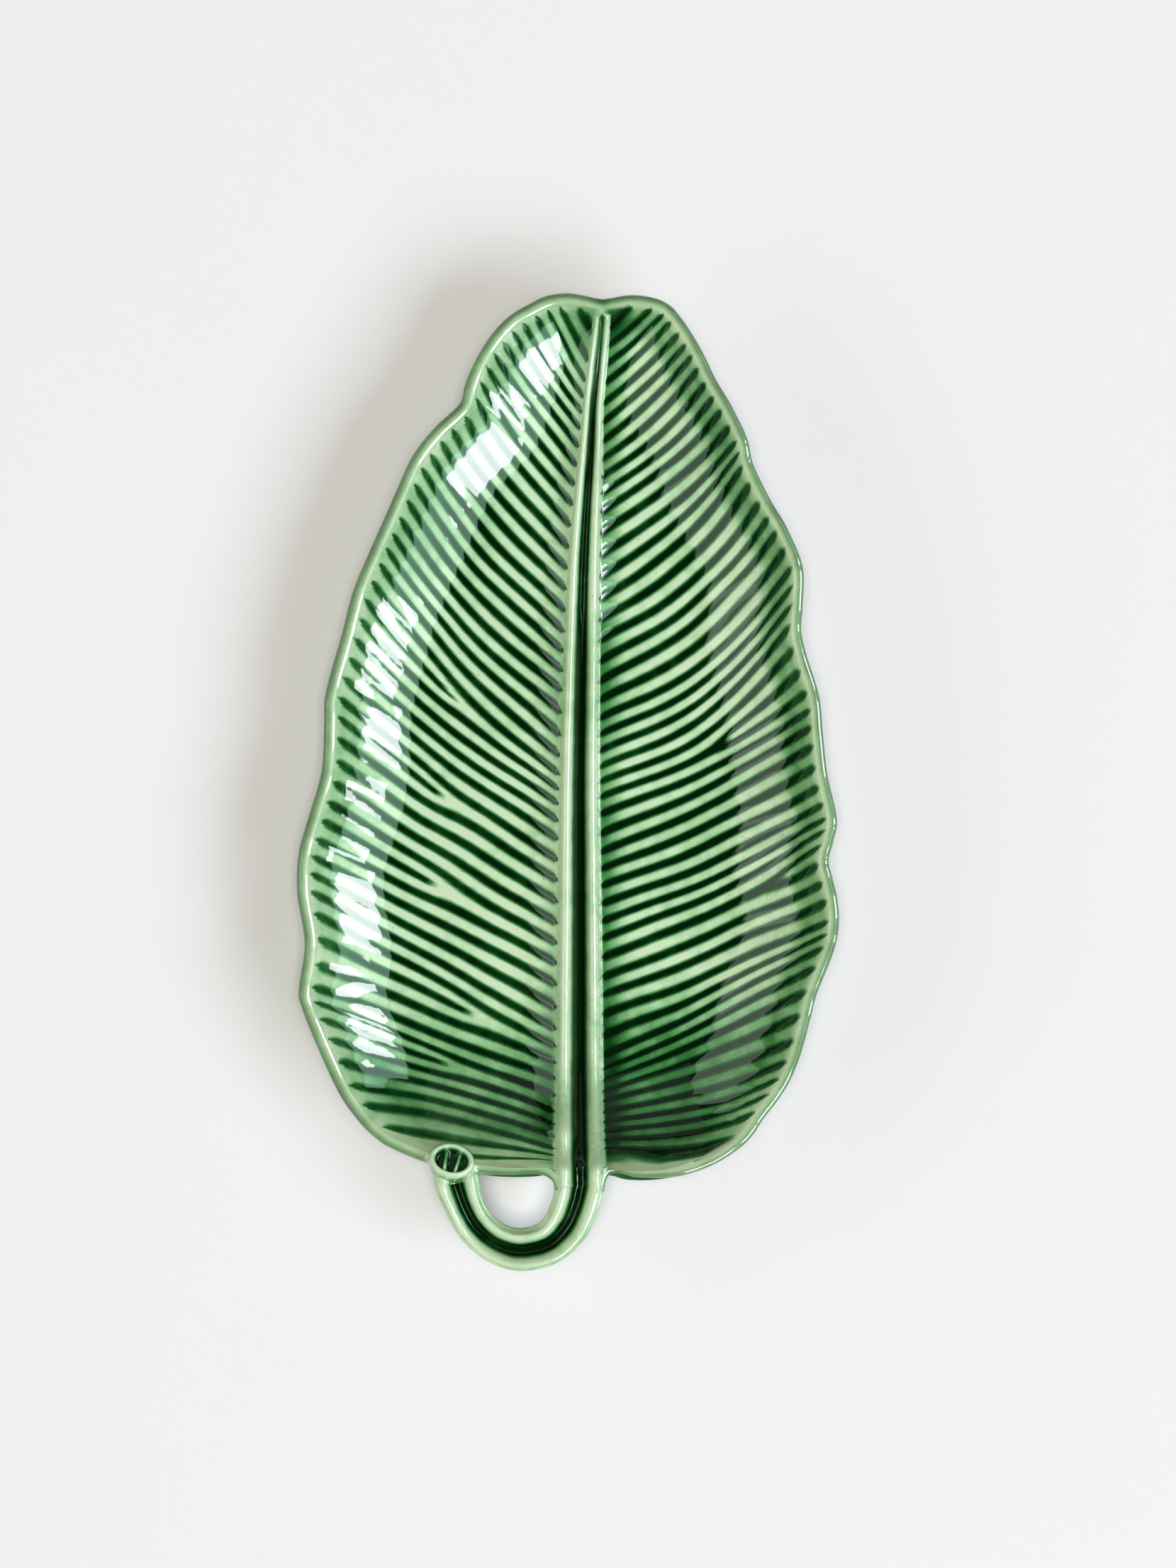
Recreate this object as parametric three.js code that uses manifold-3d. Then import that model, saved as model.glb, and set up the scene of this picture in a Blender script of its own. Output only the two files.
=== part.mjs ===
// A glazed earthenware serving dish in the form of a banana leaf.
// Two ribbed half blades meet at a channelled midrib. The midrib runs on past the base as a stalk that
// loops round for a finger and lies back on the margin, where its cut end shows. The whole is one fired
// piece and stands on a plain oval foot ring.
// Millimetres. +Y is the leaf's tip, +Z is up, and the foot ring stands on z = 0.

import * as THREE from "three";
import { ParametricGeometry } from "three/addons/geometries/ParametricGeometry.js";
import { mergeVertices } from "three/addons/utils/BufferGeometryUtils.js";
import Module from "manifold-3d";

// Dish section
const FOOT_HEIGHT = 3.5;
const FLOOR_THICKNESS = 5;
const RIM_THICKNESS = 3.6;
const FLOOR_TOP = FOOT_HEIGHT + FLOOR_THICKNESS;
const DEPTH = 22; // from the floor up to the middle of the lip
const WALL_RUN = 33; // how far in from the margin the wall starts to rise
const WALL_POWER = 1.9; // how sharply it turns up: 1 is a straight bevel
const RIB_RELIEF = 0.45; // a crest stands this far over the mean surface, and a groove this far under it
const RIB_FADE = 5; // the ribs die out over this much of the wall under the lip

// Midrib and stalk
const RIDGE_HEIGHT = 0.56; // of the stalk's half width
const CHANNEL_DEPTH = -0.06; // of the stalk's half width
const STALK_SINK = 0.6; // the stalk's springing line lies this far under the blade's surface
const KEEL = 0.8; // the midrib shows this far under the blade
const BLADE_START = 0.4; // the blade's inner edge is buried in the midrib, at this share of its half width
const STALK_BELLY = 5.2; // thickness of the free stalk under its springing line
const MIDRIB_TIP = 136.2; // y where the midrib runs out, just under the notch in the tip
const MIDRIB_BASE = -106; // y where it leaves the floor to climb over the rim

// Cut end of the stalk
const KNOB = { x: -33.4, y: -106.8, z: 27.5, radius: 6.3, height: 9.5, hollow: 2.4, wall: 1.9, tilt: 0.35 };

// Foot ring
const FOOT = { y: -6, halfWidth: 35, halfLength: 70, taper: 0.16, width: 4, segments: 44 };

// Mesh fineness
const ROWS_PER_RIB = 2;
const ACROSS_TOP = [0, 0.2, 0.4, 0.58, 0.73, 0.85, 0.94, 1];
const ACROSS_LIP = [50, 0, -50]; // degrees round the lip, from the inside to the outside
const ACROSS_UNDER = [1, 0.8, 0.5, 0];
const STALK_STEPS = 72;
const BLADE_STATIONS = 24; // places where the midrib's height is taken from the blade

// Guide ribs of each half blade, from the base to the tip:
// rib number, y where it leaves the midrib, x and y where it meets the margin, and its sag towards the base.
const RIGHT_GUIDES = [
  [0, -110.5, 10.5, -113.4, 0],
  [0.4, -109.2, 24, -113.6, 1.2],
  [0.8, -108, 36, -111.4, 2],
  [1.3, -106.6, 46.5, -105.8, 2.4],
  [2, -104.8, 54, -98.9, 2.4],
  [3, -102.4, 58.8, -92.4, 2.2],
  [4.5, -97.4, 64.6, -83, 1.6],
  [6, -92.2, 68, -71.5, 1],
  [8, -86, 72.6, -56, 1],
  [9, -81.4, 75.8, -49, 1.1],
  [10.5, -72.6, 77.6, -40.5, 1.8],
  [12, -64, 77, -32, 2],
  [14, -51, 74.8, -22.4, 2.2],
  [16, -41, 77, -11.4, 2.2],
  [18, -30.8, 74.9, -0.8, 2.1],
  [20, -21, 73.2, 10, 2.1],
  [22, -10.6, 72.7, 20.6, 2.4],
  [24, -1.8, 70.6, 30, 4],
  [25.5, 4.8, 66.9, 42.5, 6.6],
  [28, 17, 67.8, 58.6, 7.6],
  [30, 28.6, 64, 70.4, 6.8],
  [32, 41, 57.8, 80.8, 6.2],
  [34, 52.6, 53.2, 91, 5],
  [36, 66.2, 50.2, 102, 3.6],
  [38, 79, 44, 112.4, 2.8],
  [40, 89.2, 39.6, 121.2, 2.2],
  [42, 100, 35.4, 129.2, 1.6],
  [44, 111, 29, 136.6, 1],
  [45, 117.4, 22.6, 139.2, 0.8],
  [46, 124.4, 15.6, 139.5, 0.4],
  [47, 133.6, 10.6, 138.4, 0],
];
const LEFT_GUIDES = [
  [0, -110.5, -4, -112.4, 0],
  [0.5, -109.8, -18, -112.2, 0.6],
  [1, -109.2, -30, -111.2, 1],
  [1.6, -108.6, -43, -108.2, 0.6],
  [2.3, -107.8, -54, -102.3, 0],
  [3, -107, -62.2, -93.6, -0.8],
  [4, -104.6, -66.6, -86.8, -0.4],
  [5.5, -99, -72, -74.6, 0.4],
  [7, -92.4, -76.6, -62.6, 0.6],
  [8, -87.4, -76.8, -56, 0.6],
  [9.4, -80.4, -75.3, -45.8, 0.6],
  [11, -72.6, -77, -35, 0.6],
  [12.5, -64.2, -77.6, -24.6, 0.6],
  [14, -54, -75.4, -13.4, 0.8],
  [16, -41.6, -71.2, -0.4, 1],
  [18, -29.6, -69.6, 12.6, 1.4],
  [19.5, -18.6, -69.6, 24, 2],
  [21, -10.8, -66.6, 35.6, 2.6],
  [22.5, -4.2, -63.6, 46, 3.6],
  [24, 3, -61.4, 54.8, 4.2],
  [26, 16, -55.6, 68.6, 4.4],
  [28, 27.8, -50.4, 80.4, 4.8],
  [30, 37.8, -46.4, 89.6, 4.6],
  [32, 50, -41.6, 98, 4.2],
  [34, 62.4, -35, 104.4, 3.4],
  [35.4, 71.6, -31, 108.6, 2.8],
  [37, 81.8, -29.4, 114.2, 2.2],
  [39, 94.6, -24.2, 124.8, 1.4],
  [41, 106.4, -17.4, 133, 1],
  [43, 118.8, -6.4, 139.2, 0.6],
  [44, 123.4, -1.4, 140, 0.4],
  [45, 128, 4.6, 139.3, 0.2],
  [46, 133.6, 9.4, 138.4, 0],
];

// Centre line of the midrib, from the base to the tip: y, x and half width.
const MIDRIB = [
  [-112, 3.6, 6.8],
  [-92, 3.2, 6.7],
  [-40, 3.2, 6.1],
  [0, 3.2, 5.6],
  [40, 3.9, 5],
  [67, 4.7, 4.4],
  [100, 6.9, 3.2],
  [138, 9.6, 2.1],
];

// Centre line of the looped stalk, from the rim to its cut end: x, y, z and half width.
const STALK = [
  [3.7, -114, 27.6, 6.8],
  [3.3, -120, 26.8, 6.7],
  [0.6, -127, 25.6, 6.5],
  [-4.8, -131.8, 24.8, 6.4],
  [-13.4, -133.7, 24.6, 6.3],
  [-20.6, -131.8, 24.8, 5.9],
  [-26.4, -126.8, 25.4, 5.5],
  [-30.2, -119, 26.6, 5.1],
  [-32.6, -111.4, 28, 4.9],
];

const wasm = await Module();
wasm.setup();

// The row of a guide table at any value of its first column, on a smooth curve through the rows.
function between(rows, at) {
  const last = rows.length - 1;
  let i = rows.findIndex((row) => row[0] >= at) - 1;
  i = THREE.MathUtils.clamp(i, 0, last - 1);
  const [before, from, to, after] = [rows[Math.max(i - 1, 0)], rows[i], rows[i + 1], rows[Math.min(i + 2, last)]];
  const span = to[0] - from[0];
  const t = THREE.MathUtils.clamp((at - from[0]) / span, 0, 1);
  return from.map((start, k) => {
    const leave = ((to[k] - before[k]) / (to[0] - before[0])) * span;
    const arrive = ((after[k] - start) / (after[0] - from[0])) * span;
    const rise = to[k] - start;
    return start + t * (leave + t * (3 * rise - 2 * leave - arrive + t * (leave + arrive - 2 * rise)));
  });
}

const lastRib = (guides) => guides[guides.length - 1][0];

// The margin as seen from above, anticlockwise from the right of the base, over the tip, to the left.
function marginLine() {
  const side = (guides) =>
    Array.from({ length: lastRib(guides) * 4 + 1 }, (_, i) => {
      const [, , x, y] = between(guides, i / 4);
      return new THREE.Vector2(x, y);
    });
  return [...side(RIGHT_GUIDES), ...side(LEFT_GUIDES).reverse()];
}
const margin = marginLine();

// How far a place on the blade is from the margin, and the way straight in from it.
function fromMargin(place) {
  let best = { distance: Infinity };
  margin.forEach((start, i) => {
    const edge = margin[(i + 1) % margin.length].clone().sub(start);
    const along = THREE.MathUtils.clamp(place.clone().sub(start).dot(edge) / edge.lengthSq(), 0, 1);
    const inward = place.clone().sub(start).addScaledVector(edge, -along);
    const distance = inward.length();
    if (distance < best.distance) best = { distance, inward: inward.divideScalar(distance || 1) };
  });
  return best;
}

// The middle of the dish's wall over one place: its height, the surface's upward normal and its thickness.
function wallAt(place) {
  const { distance, inward } = fromMargin(place);
  const rise = Math.max(0, 1 - distance / WALL_RUN);
  const slope = ((WALL_POWER * DEPTH) / WALL_RUN) * rise ** (WALL_POWER - 1);
  const thickness = THREE.MathUtils.lerp(FLOOR_THICKNESS, RIM_THICKNESS, rise);
  return {
    distance,
    height: FLOOR_TOP - FLOOR_THICKNESS / 2 + DEPTH * rise ** WALL_POWER,
    normal: new THREE.Vector3(inward.x * slope, inward.y * slope, 1).normalize(),
    thickness,
  };
}

// The height of the blade's upper surface, without its ribs.
function topAt(place) {
  const wall = wallAt(place);
  return wall.height + wall.thickness / 2 / wall.normal.z;
}

// A place on one rib: across is 0 inside the midrib and 1 at the middle of the lip.
function ribPlace(guides, side, rib, across) {
  const [, startY, endX, endY, sag] = between(guides, rib);
  const [, midX, halfWidth] = between(MIDRIB, startY);
  const start = new THREE.Vector2(midX + side * BLADE_START * halfWidth, startY);
  const ahead = between(guides, Math.min(rib + 0.1, lastRib(guides)));
  const behind = between(guides, Math.max(rib - 0.1, 0));
  const inward = new THREE.Vector2(behind[3] - ahead[3], ahead[2] - behind[2]).normalize();
  const end = new THREE.Vector2(endX, endY).addScaledVector(inward, (side * RIM_THICKNESS) / 2);
  const bow = across ** 1.3;
  const place = start.lerp(end, across);
  place.y -= sag * 4 * bow * (1 - bow);
  return place;
}

// A closed grid of points as a solid. point(i, j) runs round a section with i and from end to end with j.
function solidFromGrid(point, round, length, outwards) {
  const middle = (j) => {
    const sum = new THREE.Vector3();
    for (let i = 0; i < round; i++) sum.add(point(i, j));
    return sum.divideScalar(round);
  };
  const surface = (u, v, target) => {
    const i = Math.round(u * round) % round;
    const j = Math.round(v * (length + 2)) - 1;
    if (j < 0) target.copy(middle(0));
    else if (j > length) target.copy(middle(length));
    else target.copy(point(outwards ? i : (round - i) % round, j));
  };
  return solidFrom(new ParametricGeometry(surface, round, length + 2));
}

// A geometry as a solid, with its seams merged and its collapsed triangles dropped.
function solidFrom(geometry) {
  geometry.deleteAttribute("normal");
  geometry.deleteAttribute("uv");
  const merged = mergeVertices(geometry, 1e-4);
  const corners = [];
  for (let i = 0; i < merged.index.count; i += 3) {
    const [a, b, c] = merged.index.array.slice(i, i + 3);
    if (a !== b && b !== c && c !== a) corners.push(a, b, c);
  }
  const vertProperties = merged.attributes.position.array;
  return new wasm.Manifold(new wasm.Mesh({ numProp: 3, vertProperties, triVerts: new Uint32Array(corners) }));
}

// One half of the blade: every row is a closed section along a rib, over the top, round the lip and back.
function halfBlade(guides, side) {
  const section = [
    ...ACROSS_TOP.slice(0, -1).map((across) => ({ across, face: 1 })),
    ...ACROSS_LIP.map((degrees) => ({ across: 1, face: 0, turn: THREE.MathUtils.degToRad(degrees) })),
    ...ACROSS_UNDER.slice(1).map((across) => ({ across, face: -1 })),
  ];
  const point = (i, j) => {
    const rib = j / ROWS_PER_RIB;
    const { across, face, turn } = section[i];
    const place = ribPlace(guides, side, rib, across);
    const wall = wallAt(place);
    const flat = new THREE.Vector3(place.x, place.y, wall.height);
    if (face === 0) {
      const outwards = new THREE.Vector3(-wall.normal.x, -wall.normal.y, 0).normalize();
      outwards.multiplyScalar(wall.normal.z).setZ(Math.hypot(wall.normal.x, wall.normal.y));
      flat.addScaledVector(outwards, (Math.cos(turn) * RIM_THICKNESS) / 2);
      return flat.addScaledVector(wall.normal, (Math.sin(turn) * RIM_THICKNESS) / 2);
    }
    const fade = THREE.MathUtils.smoothstep(wall.distance, RIM_THICKNESS, RIM_THICKNESS + RIB_FADE);
    const relief = face > 0 ? -RIB_RELIEF * fade * Math.cos(2 * Math.PI * rib) : 0;
    return flat.addScaledVector(wall.normal, (face * wall.thickness) / 2 + relief);
  };
  return solidFromGrid(point, section.length, lastRib(guides) * ROWS_PER_RIB, side > 0);
}

// The midrib and the looped stalk, one sweep whose section keeps its channel upwards.
function midribAndStalk() {
  const stations = Array.from({ length: BLADE_STATIONS + 1 }, (_, i) => {
    const y = THREE.MathUtils.lerp(MIDRIB_TIP, MIDRIB_BASE, i / BLADE_STATIONS);
    const [, x, halfWidth] = between(MIDRIB, y);
    return { at: new THREE.Vector3(x, y, topAt(new THREE.Vector2(x, y)) - STALK_SINK), halfWidth };
  });
  const loop = STALK.map(([x, y, z, halfWidth]) => ({ at: new THREE.Vector3(x, y, z), halfWidth }));
  const all = [...stations, ...loop];
  const path = new THREE.CatmullRomCurve3(all.map((station) => station.at), false, "centripetal");
  const widths = all.map((station, i) => [i / (all.length - 1), station.halfWidth]);
  const bellies = all.map((_, i) => [
    i / (all.length - 1),
    i < stations.length ? FLOOR_THICKNESS + KEEL - STALK_SINK : STALK_BELLY,
  ]);
  const section = [
    [1, 0, 0],
    [0.9, 0.34, 0],
    [0.62, RIDGE_HEIGHT, 0],
    [0.34, 0.24, 0],
    [0, CHANNEL_DEPTH, 0],
    [-0.34, 0.24, 0],
    [-0.62, RIDGE_HEIGHT, 0],
    [-0.9, 0.34, 0],
    [-1, 0, 0],
    [-0.84, 0, 0.6],
    [-0.45, 0, 1],
    [0.45, 0, 1],
    [0.84, 0, 0.6],
  ];
  const point = (i, j) => {
    const t = j / STALK_STEPS;
    const [sideways, up, down] = section[i];
    const [, halfWidth] = between(widths, t);
    const [, belly] = between(bellies, t);
    const along = path.getTangent(t);
    const across = new THREE.Vector3(-along.y, along.x, 0).normalize();
    const place = path.getPoint(t).addScaledVector(across, sideways * halfWidth);
    place.z += up * halfWidth - down * belly;
    return place;
  };
  return solidFromGrid(point, section.length, STALK_STEPS, true);
}

// The cut end of the stalk: a round boss with a shallow hollow in its face.
function cutEnd() {
  const { radius, height, hollow, wall, tilt } = KNOB;
  const profile = new THREE.Path();
  profile.moveTo(0, -height);
  profile.quadraticCurveTo(radius * 0.9, -height, radius, -height * 0.3);
  profile.quadraticCurveTo(radius, 0, radius - wall / 2, 0);
  profile.quadraticCurveTo(radius - wall, 0, radius - wall, -hollow / 2);
  profile.quadraticCurveTo(radius - wall, -hollow, 0, -hollow);
  const boss = new THREE.LatheGeometry(profile.getPoints(4), 24);
  boss.rotateX(Math.PI / 2 - tilt).translate(KNOB.x, KNOB.y, KNOB.z + RIM_THICKNESS);
  return solidFrom(boss);
}

// The foot ring: an oval a little narrower towards the tip, flat underneath.
function footRing() {
  const oval = (inset) =>
    Array.from({ length: FOOT.segments }, (_, i) => {
      const turn = (2 * Math.PI * i) / FOOT.segments;
      const width = (FOOT.halfWidth - inset) * (1 - FOOT.taper * Math.sin(turn));
      return new THREE.Vector2(width * Math.cos(turn), FOOT.y + (FOOT.halfLength - inset) * Math.sin(turn));
    });
  const ring = new THREE.Shape(oval(0));
  ring.holes.push(new THREE.Path(oval(FOOT.width)));
  const depth = FOOT_HEIGHT + FLOOR_THICKNESS / 3;
  return solidFrom(new THREE.ExtrudeGeometry(ring, { depth, bevelEnabled: false }));
}

function leafDish() {
  const clay = halfBlade(RIGHT_GUIDES, 1)
    .add(halfBlade(LEFT_GUIDES, -1))
    .add(midribAndStalk())
    .add(cutEnd())
    .add(footRing());
  const { vertProperties, triVerts } = clay.getMesh();
  const geometry = new THREE.BufferGeometry();
  geometry.setAttribute("position", new THREE.BufferAttribute(vertProperties, 3));
  geometry.setIndex(new THREE.BufferAttribute(triVerts, 1));
  geometry.computeVertexNormals();
  const glaze = new THREE.MeshStandardMaterial({ color: 0x4f8a57, roughness: 0.12, metalness: 0 });
  const mesh = new THREE.Mesh(geometry, glaze);
  mesh.name = "leaf_dish";
  return mesh;
}

const dish = new THREE.Group();
dish.add(leafDish());

export default dish;
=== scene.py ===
"""A green majolica dish in the form of a banana leaf, with its stalk looped round as a handle.

Each operator below makes one piece or the stage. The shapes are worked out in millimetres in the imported
model's own frame: +Y is the leaf's tip, +Z is up and the foot stands on z = 0.
"""

import math

import bmesh
import bpy
import numpy as np
from bpy.props import FloatProperty, FloatVectorProperty, PointerProperty
from mathutils import Matrix, Vector, noise


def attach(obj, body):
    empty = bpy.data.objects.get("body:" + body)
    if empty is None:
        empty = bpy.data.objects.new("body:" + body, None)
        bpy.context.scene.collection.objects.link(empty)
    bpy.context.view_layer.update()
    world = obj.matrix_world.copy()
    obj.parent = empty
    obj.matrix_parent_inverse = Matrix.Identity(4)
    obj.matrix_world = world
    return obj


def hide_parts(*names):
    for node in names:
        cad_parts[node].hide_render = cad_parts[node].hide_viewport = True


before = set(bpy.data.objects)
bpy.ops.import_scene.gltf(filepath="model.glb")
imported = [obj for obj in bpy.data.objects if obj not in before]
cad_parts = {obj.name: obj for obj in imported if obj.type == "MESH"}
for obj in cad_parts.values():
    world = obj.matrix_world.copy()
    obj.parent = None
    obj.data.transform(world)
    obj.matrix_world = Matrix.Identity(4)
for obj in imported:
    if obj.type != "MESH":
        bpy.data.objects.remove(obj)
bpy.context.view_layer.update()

bl_info = {
    "name": "Leaf dish",
    "version": (1, 0, 0),
    "blender": (4, 5, 0),
    "location": "3D View > Sidebar > Leaf Dish",
    "description": "Builds a glazed leaf-shaped serving dish and a plain stage round it",
    "category": "Add Mesh",
}

MM = 0.001
MERGE_DISTANCE = 0.004  # corners of a skin closer than this, in millimetres, become one
FLOOR_REACH = 8000  # half the table top's side, in millimetres
ROOM_LIGHT = 0.03  # how bright the rest of the room is in the glaze

# --- The leaf's drawing ---------------------------------------------------------------------------

# Guide ribs of each half blade, from the base to the tip: rib number, y where the rib leaves the midrib,
# x and y where it meets the margin, and its sag towards the base.
RIGHT_GUIDES = [
    (0, -115, 10.4, -116.6, 0),
    (0.12, -113.2, 11.2, -113, 0),
    (0.25, -111.8, 13.2, -111.6, 0.2),
    (0.4, -110.6, 20.4, -112.9, 1),
    (0.6, -109, 32, -112.4, 2),
    (0.8, -107.8, 42.6, -108.7, 2.4),
    (1, -106.6, 50.4, -103.4, 2.4),
    (2, -104.4, 56.2, -95.8, 3),
    (3, -102, 60.2, -90.6, 3.2),
    (4, -99.6, 63.2, -85.9, 3),
    (5, -97, 65.6, -80.6, 2.6),
    (6, -93.8, 67.6, -74.4, 2.2),
    (7, -91, 69.5, -67.2, 1.8),
    (8, -88, 71.2, -60.7, 1.2),
    (10, -80.6, 76.2, -47.8, 1.3),
    (12, -68.8, 77.6, -39.4, 1.9),
    (13, -63.2, 77.1, -33, 2),
    (14, -58.1, 75.8, -27.5, 2.1),
    (15, -52.8, 74.7, -22.3, 2.2),
    (16, -47.4, 75.9, -17.1, 2.2),
    (17, -42.6, 77, -12.2, 2.2),
    (18, -38, 76.6, -7.7, 2.2),
    (20, -28, 74.3, 2.4, 2.1),
    (22, -18.2, 73, 14.2, 2.2),
    (24, -7.8, 71.9, 24.9, 3.3),
    (26, 1, 68.1, 37.4, 5.9),
    (27, 5.2, 66.8, 43.9, 6.7),
    (28, 9.7, 67.2, 50.2, 7.2),
    (30, 19, 67.2, 61.8, 7.3),
    (32, 29.9, 62.7, 73, 6.6),
    (34, 41.8, 57.8, 81.4, 5.8),
    (36, 54, 53.1, 91.2, 4.6),
    (38, 67.2, 51.3, 98.6, 3.3),
    (40, 79.2, 46.8, 108, 2.5),
    (42, 89.4, 42.3, 115.6, 2),
    (44, 100, 38.5, 123.4, 1.3),
    (46, 111, 34.6, 130, 0.8),
    (47, 117.2, 32, 133.6, 0.5),
    (48, 122.6, 29.4, 136.4, 0.2),
    (49, 127.6, 25, 138.6, 0),
    (50, 132.4, 17.8, 139.5, 0),
    (50.5, 135.6, 10.6, 138.4, 0),
]
LEFT_GUIDES = [
    (0, -115, -3.8, -116.4, 0),
    (0.12, -113.2, -4.4, -113.8, 0),
    (0.25, -111.8, -8, -112, 0.1),
    (0.4, -110.9, -18, -112.2, 0.6),
    (0.55, -110.4, -29, -111.6, 1.2),
    (0.75, -110, -41, -108.4, 1.8),
    (1, -109.6, -50.2, -104.6, 2.2),
    (1.5, -109, -54.6, -101.8, 1.8),
    (2, -108.4, -58.4, -98.4, 1.2),
    (3, -107, -63.6, -91.8, -0.4),
    (4, -103.8, -67, -85.8, -0.4),
    (5, -100.6, -70.4, -78.3, 0.2),
    (6, -97.6, -73.3, -71.6, 0.5),
    (7, -93.8, -75.8, -65.2, 0.6),
    (8, -89.4, -77, -60, 0.6),
    (10, -80.6, -75.3, -46.1, 0.6),
    (12, -71.4, -77.4, -31.4, 0.6),
    (14, -59.4, -76.9, -19.7, 0.7),
    (16, -48.6, -73.6, -7.9, 0.9),
    (18, -37.4, -70.4, 3.7, 1.2),
    (20, -26.2, -69.7, 17.2, 1.7),
    (21, -20.8, -69.6, 23.5, 2.1),
    (22, -15.2, -68.3, 29.8, 2.5),
    (24, -6, -64.8, 42, 3.7),
    (26, 2, -61.5, 54.6, 4.2),
    (28, 13, -57, 65.5, 4.4),
    (30, 25.2, -53.1, 74.3, 4.8),
    (32, 36.5, -48.8, 84.1, 4.5),
    (34, 47.8, -44.3, 93.7, 4.1),
    (36, 60, -38, 101.7, 3.2),
    (38, 72.2, -30.9, 108.7, 2.5),
    (39, 78.4, -29.5, 113.5, 2.1),
    (40, 84.4, -27.8, 118, 1.7),
    (42, 95.6, -23.2, 126.3, 1.1),
    (44, 105.8, -17.1, 133.2, 0.8),
    (46, 115.6, -9.3, 137.9, 0.3),
    (47, 121, -5.6, 139.4, 0.1),
    (48, 127.8, -0.8, 140, 0),
    (48.5, 131.4, 2.6, 139.8, 0),
    (49, 135.6, 9.4, 138.4, 0),
]
STALK_JOIN = 0.25  # rib number where the margin turns out of the blade and along the stalk

# Centre line of the midrib: y, x and half width.
MIDRIB = [
    (-116, 3.6, 7),
    (-92, 3.2, 6.7),
    (-40, 3.2, 6.1),
    (0, 3.2, 5.6),
    (40, 3.9, 5),
    (67, 4.7, 4.4),
    (100, 6.7, 3.3),
    (110, 7.3, 2.95),
    (124, 8.7, 2.55),
    (132, 9.6, 2.3),
    (136.6, 10, 2),
]

# Centre line of the looped stalk past the rim: x, y, z and half width.
STALK = [
    (3.5, -115, 27.4, 7.1),
    (2.4, -120, 26.8, 6.9),
    (-0.4, -126.7, 25.6, 6.6),
    (-5.4, -131.8, 24.8, 6.3),
    (-13.6, -133.8, 24.6, 6.2),
    (-20.8, -131.7, 24.8, 5.9),
    (-26.4, -126.8, 25.4, 5.7),
    (-29.8, -120.4, 26.4, 5.8),
    (-31.9, -113.6, 27.3, 6.5),
    (-33, -108.6, 23, 5.6),
]

# Height of the midrib's two ridges and the channel between them over the blade, against the distance
# from the centre line, both as shares of the half width.
RIDGES = [
    (0, -0.07),
    (0.16, -0.03),
    (0.3, 0.16),
    (0.45, 0.42),
    (0.62, 0.56),
    (0.78, 0.5),
    (0.9, 0.3),
    (1.02, 0.04),
    (1.1, 0),
    (1.3, 0),
]

# Places where an extra groove starts part way out to the margin: side, rib number and share of the way out.
FORKS = [
    (-1, 6.75, 0.45),
    (-1, 10.25, 0.35),
    (-1, 15.75, 0.5),
    (-1, 20.25, 0.52),
    (-1, 25.75, 0.55),
    (1, 15.25, 0.84),
    (1, 24.75, 0.62),
]


# --- Properties -----------------------------------------------------------------------------------


def length(name, description, default):
    """A length property, with its default given in millimetres."""
    return FloatProperty(name=name, description=description, default=default * MM, unit="LENGTH", precision=5)


def colour(name, description, hex_value):
    """A colour property, with its default given as an sRGB hex value."""
    return FloatVectorProperty(name=name, description=description, default=linear(hex_value), subtype="COLOR",
                               size=3, min=0, max=1)


def brightness(name, description, default):
    """How bright a light's surface is."""
    return FloatProperty(name=name, description=description, default=default, min=0)


def linear(hex_value):
    """An sRGB hex value, such as "4f8a57", as three linear numbers."""
    shares = [int(hex_value[i:i + 2], 16) / 255 for i in (0, 2, 4)]
    return tuple(s / 12.92 if s <= 0.04045 else ((s + 0.055) / 1.055) ** 2.4 for s in shares)


class DishSizes(bpy.types.PropertyGroup):
    foot_height: length("Foot height", "Height of the foot ring under the floor", 3.5)
    floor_thickness: length("Floor thickness", "Thickness of the clay in the floor", 5)
    rim_thickness: length("Rim thickness", "Thickness of the clay at the lip", 3.6)
    depth: length("Depth", "From the floor up to the middle of the lip", 22)
    wall_run: length("Wall run", "How far in from the margin the wall starts to rise", 33)
    rib_relief: length("Rib relief", "How far a crest stands over the mean surface in the floor", 0.14)
    wall_relief: length("Wall relief", "The same on the wall, where the glaze has levelled the ribs", 0.024)
    foot_half_width: length("Foot half width", "Half the width of the oval foot ring", 35)
    foot_half_length: length("Foot half length", "Half the length of the oval foot ring", 70)
    foot_width: length("Foot ring width", "Width of the foot ring's flat face", 4)


class GlazeColours(bpy.types.PropertyGroup):
    thin: colour("Thin glaze", "Where the glaze has run off a crest", "c8dfba")
    light: colour("Light glaze", "Beside a crest", "93c08c")
    middle: colour("Middle glaze", "Half way down a rib's side", "3c7c41")
    deep: colour("Deep glaze", "Near the bottom of a groove", "0e4218")
    pooled: colour("Pooled glaze", "In the bottom of a groove", "011a03")
    lip: colour("Lip", "Thin glaze on the lip, warmed by the clay", "b9c8a2")
    clay: colour("Clay", "Bare fired clay on the foot", "d8c7a8")


class StageLook(bpy.types.PropertyGroup):
    floor: colour("Floor", "The pale table top", "e9e8e8")
    key: brightness("Key", "Soft light from the right that shapes the shadow", 7.6)
    fill: brightness("Fill", "Broad soft light from overhead", 19.8)
    bounce: brightness("Bounce", "Weak soft light from the left", 1.7)
    window: brightness("Window panes", "Bright panes of the window that the glaze mirrors", 12)
    sky: brightness("Window", "Dimmer part of the window that the glaze mirrors", 2.9)
    wall: brightness("Left wall", "Pale wall on the left that the glaze mirrors", 1.25)
    patch: brightness("Left patch", "Brighter part of the left wall that the glaze mirrors", 1.0)
    tip_wall: brightness("Far wall", "Dim wall past the tip that the glaze mirrors", 0.2)


# --- Helpers --------------------------------------------------------------------------------------


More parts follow.
